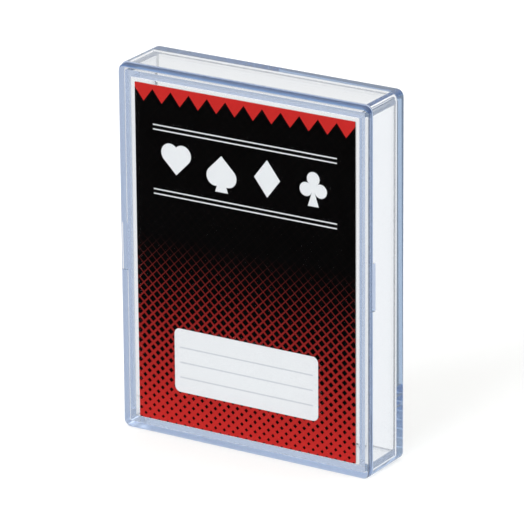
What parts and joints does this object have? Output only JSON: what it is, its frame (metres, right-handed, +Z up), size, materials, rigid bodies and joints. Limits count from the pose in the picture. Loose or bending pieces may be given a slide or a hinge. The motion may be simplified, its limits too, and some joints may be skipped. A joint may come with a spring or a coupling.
{
  "type": "card storage case",
  "caption": "Clear moulded card case: a front tray telescopes into a notched back tray around a card cavity, with a loose printed insert card behind the front panel.",
  "frame": {"origin": "on the floor under the middle of the case, which stands on its short end", "axes": "+Z up along the long side, +Y from the front panel to the back panel, +X across the width"},
  "size_m": [0.0724, 0.017, 0.0967],
  "materials": {
    "clear_polystyrene": "clear, polished moulding",
    "printed_card": "coated printed board, mostly black"
  },
  "bodies": {
    "back": {"back_tray": "clear_polystyrene"},
    "front": {"front_tray": "clear_polystyrene"},
    "insert": {"insert_card": "printed_card"}
  },
  "joints": [
    {"name": "front_slide", "type": "slide", "parent": "back", "child": "front", "axis": [0, -1, 0], "range_m": [0, 0.04]},
    {"name": "insert_slide", "type": "slide", "parent": "front", "child": "insert", "axis": [0, 1, 0], "range_m": [0, 0.0118]}
  ]
}
